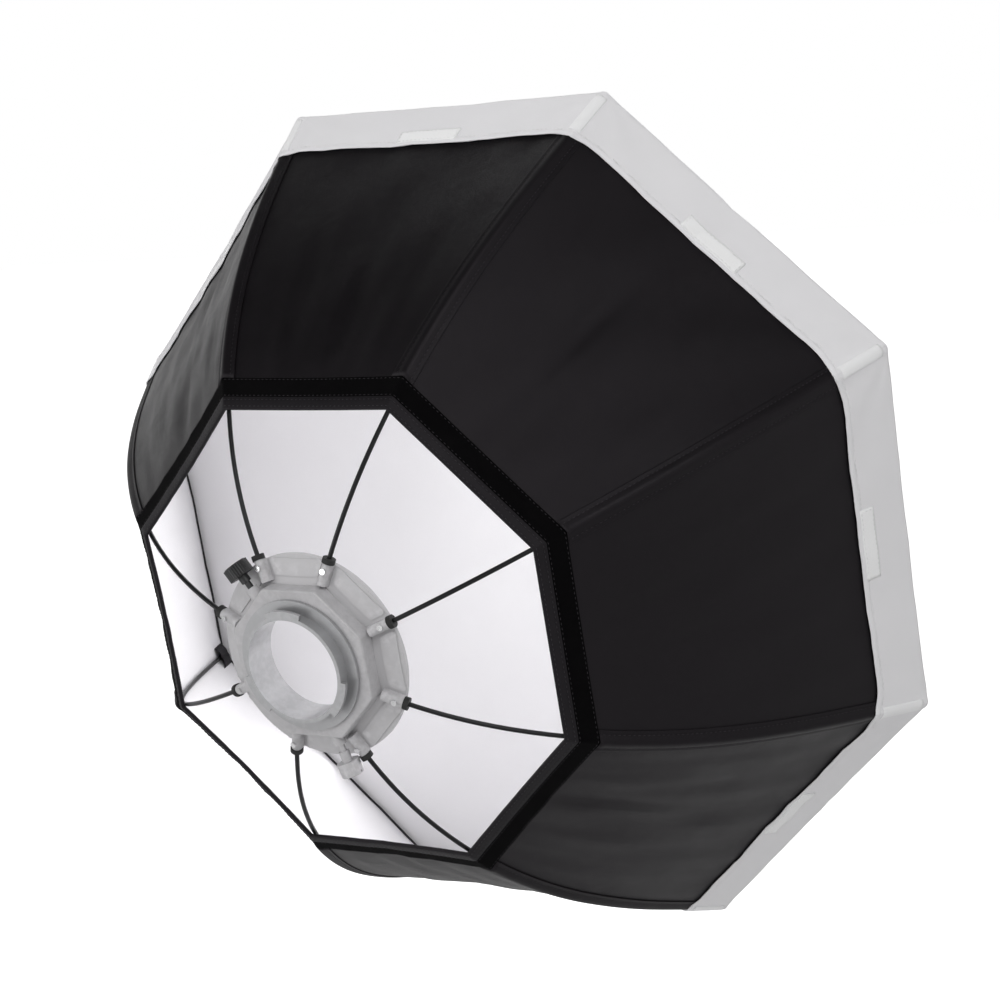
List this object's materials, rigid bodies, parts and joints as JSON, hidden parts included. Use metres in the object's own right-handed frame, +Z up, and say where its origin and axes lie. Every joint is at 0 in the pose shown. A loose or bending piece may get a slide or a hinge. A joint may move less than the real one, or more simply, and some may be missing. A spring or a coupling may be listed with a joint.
{
  "type": "studio softbox",
  "caption": "Eight-sided collapsible studio softbox: a round speedring with a turning bayonet mount, bent rods, a lined black shell open at the back, and a white front diffuser.",
  "frame": {"origin": "centre of the bayonet mount, on the flat rear face of the insert's flange that seats against the light head", "axes": "-Y forward along the optical axis, out of the diffuser; +Z up; +X to the right when seen from the front"},
  "size_m": [0.8764, 0.4111, 0.8764],
  "materials": {
    "shell": "matte woven nylon, black",
    "lining": "white reflecting cloth",
    "diffuser": "white diffusing cloth",
    "tape": "black woven tape",
    "hook_loop": "black hook-and-loop",
    "tab": "white hook-and-loop",
    "ring": "pressed, satin grey",
    "hub": "cast, satin",
    "insert": "machined",
    "screw": "bright plated",
    "socket": "moulded grey nylon",
    "grommet": "black rubber",
    "knob_black": "knurled, black",
    "knob_grey": "turned, satin",
    "rod": "black spring wire",
    "pad": "natural nylon"
  },
  "bodies": {
    "mount": {"bayonet_insert": "insert", "retaining_ring": "insert", "retaining_screws": "screw"},
    "softbox": {"closure_tabs": "tab", "corner_pockets": "tape", "diffuser_front": "diffuser", "diffuser_skirt": "diffuser", "front_binding": "tape", "hook_band": "hook_loop", "lining": "lining", "plate_rivets": "screw", "rear_hem": "tape", "ring_hub": "hub", "ring_plate": "ring", "rod_1": "rod", "rod_2": "rod", "rod_3": "rod", "rod_4": "rod", "rod_5": "rod", "rod_6": "rod", "rod_7": "rod", "rod_8": "rod", "rod_socket_1": "socket", "rod_socket_2": "socket", "rod_socket_3": "socket", "rod_socket_4": "socket", "rod_socket_5": "socket", "rod_socket_6": "socket", "rod_socket_7": "socket", "rod_socket_8": "socket", "rod_tips": "grommet", "seam_sleeve_1": "tape", "seam_sleeve_2": "tape", "seam_sleeve_3": "tape", "seam_sleeve_4": "tape", "seam_sleeve_5": "tape", "seam_sleeve_6": "tape", "seam_sleeve_7": "tape", "seam_sleeve_8": "tape", "shell_panel_1": "shell", "shell_panel_2": "shell", "shell_panel_3": "shell", "shell_panel_4": "shell", "shell_panel_5": "shell", "shell_panel_6": "shell", "shell_panel_7": "shell", "shell_panel_8": "shell", "socket_grommets": "grommet", "socket_screws": "screw"},
    "upper_pad": {"clamp_pad_upper": "pad"},
    "upper_screw": {"thumbscrew_upper": "knob_black"},
    "lower_pad": {"clamp_pad_lower": "pad"},
    "lower_screw": {"thumbscrew_lower": "knob_grey"}
  },
  "joints": [
    {"name": "softbox_turn", "type": "hinge", "parent": "mount", "child": "softbox", "pos_m": [0, 0, 0], "axis": [0, -1, 0], "continuous": true},
    {"name": "upper_screw_travel", "type": "slide", "parent": "softbox", "child": "upper_pad", "axis": [0.5446, 0, 0.8387], "range_m": [0, 0.003]},
    {"name": "upper_screw_turn", "type": "hinge", "parent": "upper_pad", "child": "upper_screw", "pos_m": [0.05446, -0.01, 0.08387], "axis": [0.5446, 0, 0.8387], "range_deg": [0, 1080]},
    {"name": "lower_screw_travel", "type": "slide", "parent": "softbox", "child": "lower_pad", "axis": [-0.2588, 0, -0.9659], "range_m": [0, 0.003]},
    {"name": "lower_screw_turn", "type": "hinge", "parent": "lower_pad", "child": "lower_screw", "pos_m": [-0.02588, -0.01, -0.09659], "axis": [-0.2588, 0, -0.9659], "range_deg": [0, 1080]}
  ],
  "couplings": [
    {"joint": "upper_screw_turn", "follows": "upper_screw_travel", "rad_per_m": 6283.2},
    {"joint": "lower_screw_turn", "follows": "lower_screw_travel", "rad_per_m": 6283.2}
  ]
}
